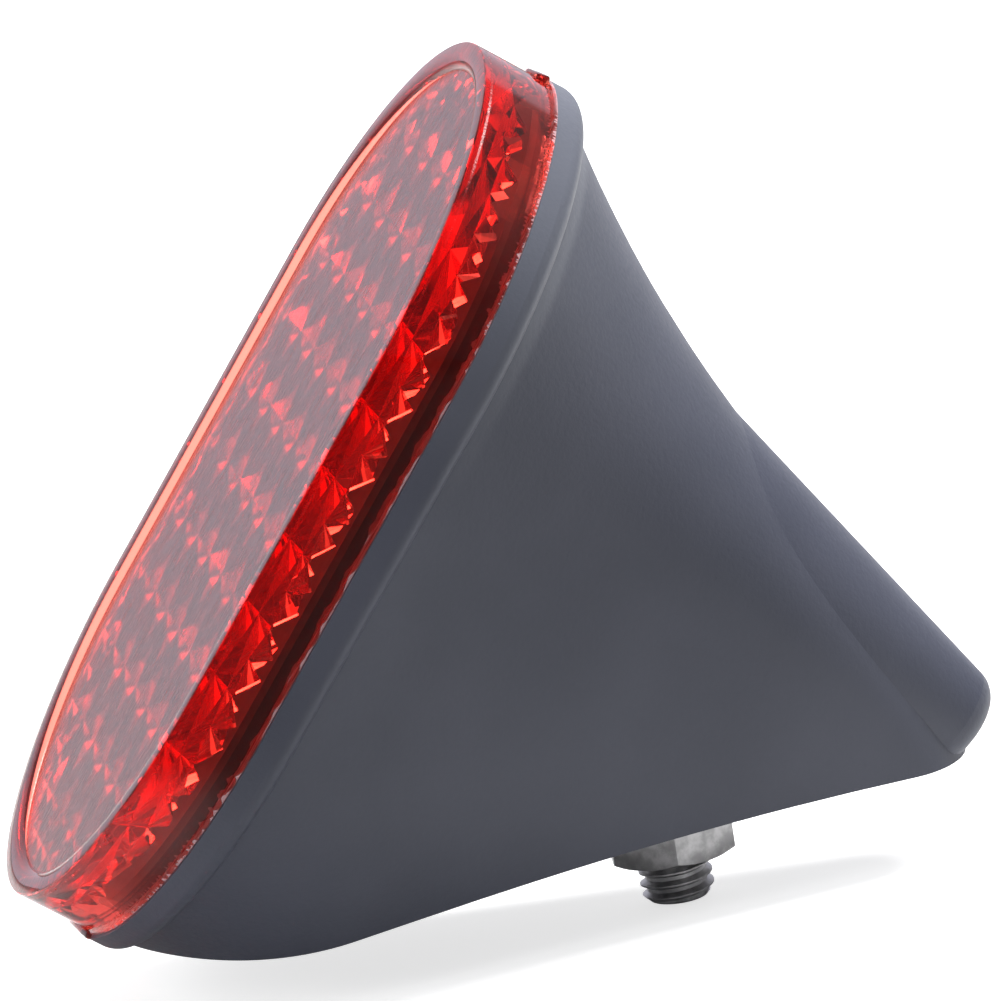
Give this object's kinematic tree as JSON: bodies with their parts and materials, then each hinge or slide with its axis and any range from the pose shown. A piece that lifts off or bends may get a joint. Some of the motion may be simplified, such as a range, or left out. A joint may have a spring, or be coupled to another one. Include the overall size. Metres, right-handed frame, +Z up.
{
  "type": "rear mudguard reflector",
  "caption": "Oblong red cube-corner reflector lens on a flared rubber boot with a saddle-shaped foot, fixed to a bicycle mudguard by a threaded stud and hexagon nut.",
  "frame": {"origin": "on the axis of the bolt, at the seat of the nut under the foot, where the foot meets the crown of the mudguard", "axes": "+Z up, away from the stud; the lens looks towards -Y and up; the tail of the boot points towards +Y; X is across the mudguard"},
  "size_m": [0.039, 0.0654, 0.0578],
  "materials": {
    "red_lens": "clear red, glossy",
    "rubber": "matt, dark blue-grey",
    "bolt_steel": "dull zinc plate"
  },
  "bodies": {
    "root": {"reflector_lens": "red_lens", "rubber_boot": "rubber", "mounting_bolt": "bolt_steel", "bolt_washer": "bolt_steel", "hex_nut": "bolt_steel"}
  },
  "joints": []
}
